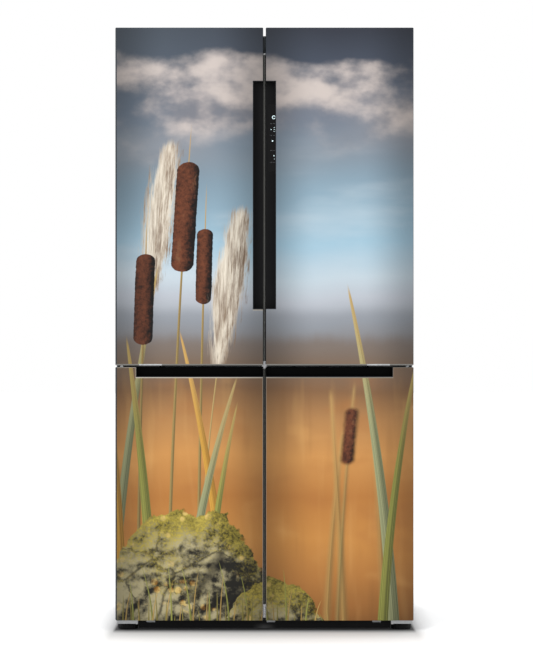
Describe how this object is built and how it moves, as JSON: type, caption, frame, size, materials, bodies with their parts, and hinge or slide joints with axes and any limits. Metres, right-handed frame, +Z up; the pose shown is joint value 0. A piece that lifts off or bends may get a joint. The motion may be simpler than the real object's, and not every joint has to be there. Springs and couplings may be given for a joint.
{
  "type": "four-door fridge-freezer",
  "caption": "Free-standing fridge-freezer with French doors over a pair of freezer doors, recessed black grips, glass shelves, door bins and drawers.",
  "frame": {"origin": "on the floor, under the middle of the width and the depth", "axes": "+Z up; the doors face -Y; +X to the right as seen from the front"},
  "size_m": [0.905, 0.731, 1.83],
  "materials": {
    "cabinet_skin": "dark grey painted steel skin of the cabinet",
    "cabinet_frame": "grey painted front frame and foamed walls",
    "door_skin": "dark grey metallic paint on the door edges and backs",
    "door_print": "printed vinyl film over the door fronts",
    "grip_black": "satin black finger recesses",
    "black_plastic": "moulded black plastic of the plinth and feet",
    "hinge_cover": "dark grey textured plastic",
    "zinc": "zinc-plated pressed steel",
    "gasket": "soft grey magnetic seal",
    "liner_white": "white moulded polystyrene liner",
    "clear_plastic": "clear moulded drawers and door bins",
    "shelf_glass": "toughened glass in clear trims",
    "roller_nylon": "natural nylon",
    "display_light": "lit symbols of the touch display"
  },
  "bodies": {
    "cabinet": {"cabinet_side_left": "cabinet_skin", "cabinet_side_right": "cabinet_skin", "cabinet_top_back": "cabinet_skin", "cabinet_divider": "cabinet_frame", "freezer_shell": "cabinet_frame", "centre_post": "cabinet_skin", "liner_fridge": "liner_white", "liner_freezer_left": "liner_white", "liner_freezer_right": "liner_white", "machine_cover": "zinc", "power_inlet": "black_plastic", "base_tray": "zinc", "plinth": "black_plastic", "foot_left": "black_plastic", "foot_right": "black_plastic", "hinge_cover_left": "hinge_cover", "hinge_cover_right": "hinge_cover", "hinge_top_left": "zinc", "hinge_top_right": "zinc", "hinge_middle_left": "zinc", "hinge_middle_right": "zinc", "hinge_bottom_left": "zinc", "hinge_bottom_right": "zinc", "air_duct": "liner_white", "crisper_shelf": "shelf_glass", "shelf_1": "shelf_glass", "shelf_2": "shelf_glass", "shelf_3": "shelf_glass", "crisper_left": "clear_plastic", "crisper_right": "clear_plastic", "freezer_drawer_left_1": "clear_plastic", "freezer_drawer_left_2": "clear_plastic", "freezer_drawer_left_3": "clear_plastic", "freezer_drawer_right_1": "clear_plastic", "freezer_drawer_right_2": "clear_plastic", "freezer_drawer_right_3": "clear_plastic"},
    "upper_left_door": {"door_upper_left": "door_skin", "grip_upper_left": "grip_black", "gasket_upper_left": "gasket", "door_liner_upper_left": "liner_white", "bin_left_1": "clear_plastic", "bin_left_2": "clear_plastic", "bin_left_3": "clear_plastic"},
    "lower_left_door": {"door_lower_left": "door_skin", "grip_lower_left": "grip_black", "gasket_lower_left": "gasket", "door_liner_lower_left": "liner_white"},
    "rear_roller_left": {"roller_left": "roller_nylon"},
    "upper_right_door": {"door_upper_right": "door_skin", "grip_upper_right": "grip_black", "gasket_upper_right": "gasket", "door_liner_upper_right": "liner_white", "bin_right_1": "clear_plastic", "bin_right_2": "clear_plastic", "bin_right_3": "clear_plastic"},
    "lower_right_door": {"door_lower_right": "door_skin", "grip_lower_right": "grip_black", "gasket_lower_right": "gasket", "door_liner_lower_right": "liner_white"},
    "rear_roller_right": {"roller_right": "roller_nylon"}
  },
  "joints": [
    {"name": "upper_left_door_hinge", "type": "hinge", "parent": "cabinet", "child": "upper_left_door", "pos_m": [-0.4325, -0.3355, 1.317], "axis": [0, 0, -1], "range_deg": [0, 115]},
    {"name": "upper_right_door_hinge", "type": "hinge", "parent": "cabinet", "child": "upper_right_door", "pos_m": [0.4325, -0.3355, 1.317], "axis": [0, 0, 1], "range_deg": [0, 115]},
    {"name": "lower_left_door_hinge", "type": "hinge", "parent": "cabinet", "child": "lower_left_door", "pos_m": [-0.4325, -0.3355, 0.416], "axis": [0, 0, -1], "range_deg": [0, 115]},
    {"name": "lower_right_door_hinge", "type": "hinge", "parent": "cabinet", "child": "lower_right_door", "pos_m": [0.4325, -0.3355, 0.416], "axis": [0, 0, 1], "range_deg": [0, 115]},
    {"name": "rear_roller_left_spin", "type": "hinge", "parent": "cabinet", "child": "rear_roller_left", "pos_m": [-0.405, 0.3, 0.01636], "axis": [1, 0, 0], "continuous": true},
    {"name": "rear_roller_right_spin", "type": "hinge", "parent": "cabinet", "child": "rear_roller_right", "pos_m": [0.405, 0.3, 0.01636], "axis": [1, 0, 0], "continuous": true}
  ]
}
